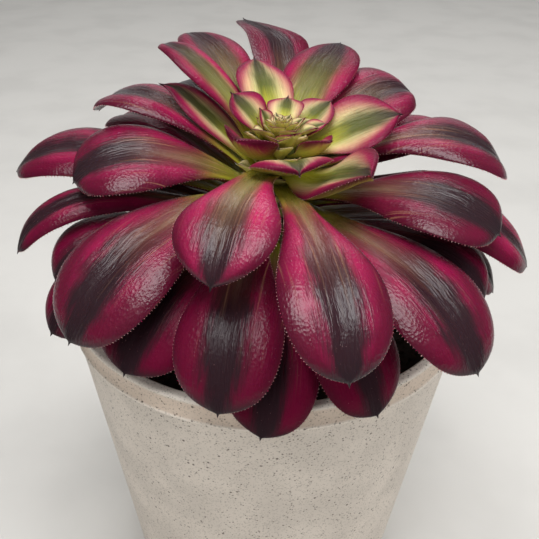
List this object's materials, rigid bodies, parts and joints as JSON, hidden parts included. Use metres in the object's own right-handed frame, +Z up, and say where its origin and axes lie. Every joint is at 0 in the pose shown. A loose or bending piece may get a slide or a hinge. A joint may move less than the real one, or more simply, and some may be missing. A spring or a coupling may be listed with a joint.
{
  "type": "potted aeonium",
  "caption": "Potted aeonium: a broad rosette of thick spoon-shaped leaves on a short stem, rooted in potting mix in a tapered round pot with a rim band.",
  "frame": {"origin": "centre of the pot's underside, on the surface the pot stands on", "axes": "+Z up, out of the pot along its axis; -Y towards the plant's show side, where the rosette leans"},
  "size_m": [0.1555, 0.1479, 0.192],
  "materials": {
    "speckled_pot": "off-white moulding with fine dark specks, matt",
    "potting_mix": "dark peat with a little grit, rough",
    "stem_bark": "green-brown young bark with leaf scars",
    "bud_green": "cream-green bud leaves, satin",
    "leaf_inner": "cream-yellow fleshy leaf with a green stripe and pink margins, satin",
    "leaf_middle": "crimson fleshy leaf with an olive to charcoal stripe, satin gloss",
    "leaf_outer": "dark crimson fleshy leaf with a charcoal stripe, satin gloss"
  },
  "bodies": {
    "root": {"pot": "speckled_pot", "potting_mix": "potting_mix", "stem": "stem_bark", "growing_tip": "bud_green", "inner_leaf_01": "leaf_inner", "inner_leaf_02": "leaf_inner", "inner_leaf_03": "leaf_inner", "inner_leaf_04": "leaf_inner", "inner_leaf_05": "leaf_inner", "inner_leaf_06": "leaf_inner", "inner_leaf_07": "leaf_inner", "inner_leaf_08": "leaf_inner", "inner_leaf_09": "leaf_inner", "inner_leaf_10": "leaf_inner", "middle_leaf_01": "leaf_middle", "middle_leaf_02": "leaf_middle", "middle_leaf_03": "leaf_middle", "middle_leaf_04": "leaf_middle", "middle_leaf_05": "leaf_middle", "middle_leaf_06": "leaf_middle", "middle_leaf_07": "leaf_middle", "middle_leaf_08": "leaf_middle", "middle_leaf_09": "leaf_middle", "middle_leaf_10": "leaf_middle", "middle_leaf_11": "leaf_middle", "middle_leaf_12": "leaf_middle", "middle_leaf_13": "leaf_middle", "middle_leaf_14": "leaf_middle", "middle_leaf_15": "leaf_middle", "middle_leaf_16": "leaf_middle", "middle_leaf_17": "leaf_middle", "middle_leaf_18": "leaf_middle", "middle_leaf_19": "leaf_middle", "middle_leaf_20": "leaf_middle", "outer_leaf_01": "leaf_outer", "outer_leaf_02": "leaf_outer", "outer_leaf_03": "leaf_outer", "outer_leaf_04": "leaf_outer", "outer_leaf_05": "leaf_outer", "outer_leaf_06": "leaf_outer", "outer_leaf_07": "leaf_outer", "outer_leaf_08": "leaf_outer", "outer_leaf_09": "leaf_outer", "outer_leaf_10": "leaf_outer", "outer_leaf_11": "leaf_outer", "outer_leaf_12": "leaf_outer", "outer_leaf_13": "leaf_outer", "outer_leaf_14": "leaf_outer", "outer_leaf_15": "leaf_outer", "outer_leaf_16": "leaf_outer", "outer_leaf_17": "leaf_outer", "outer_leaf_18": "leaf_outer", "outer_leaf_19": "leaf_outer", "outer_leaf_20": "leaf_outer", "outer_leaf_21": "leaf_outer", "outer_leaf_22": "leaf_outer"}
  },
  "joints": []
}
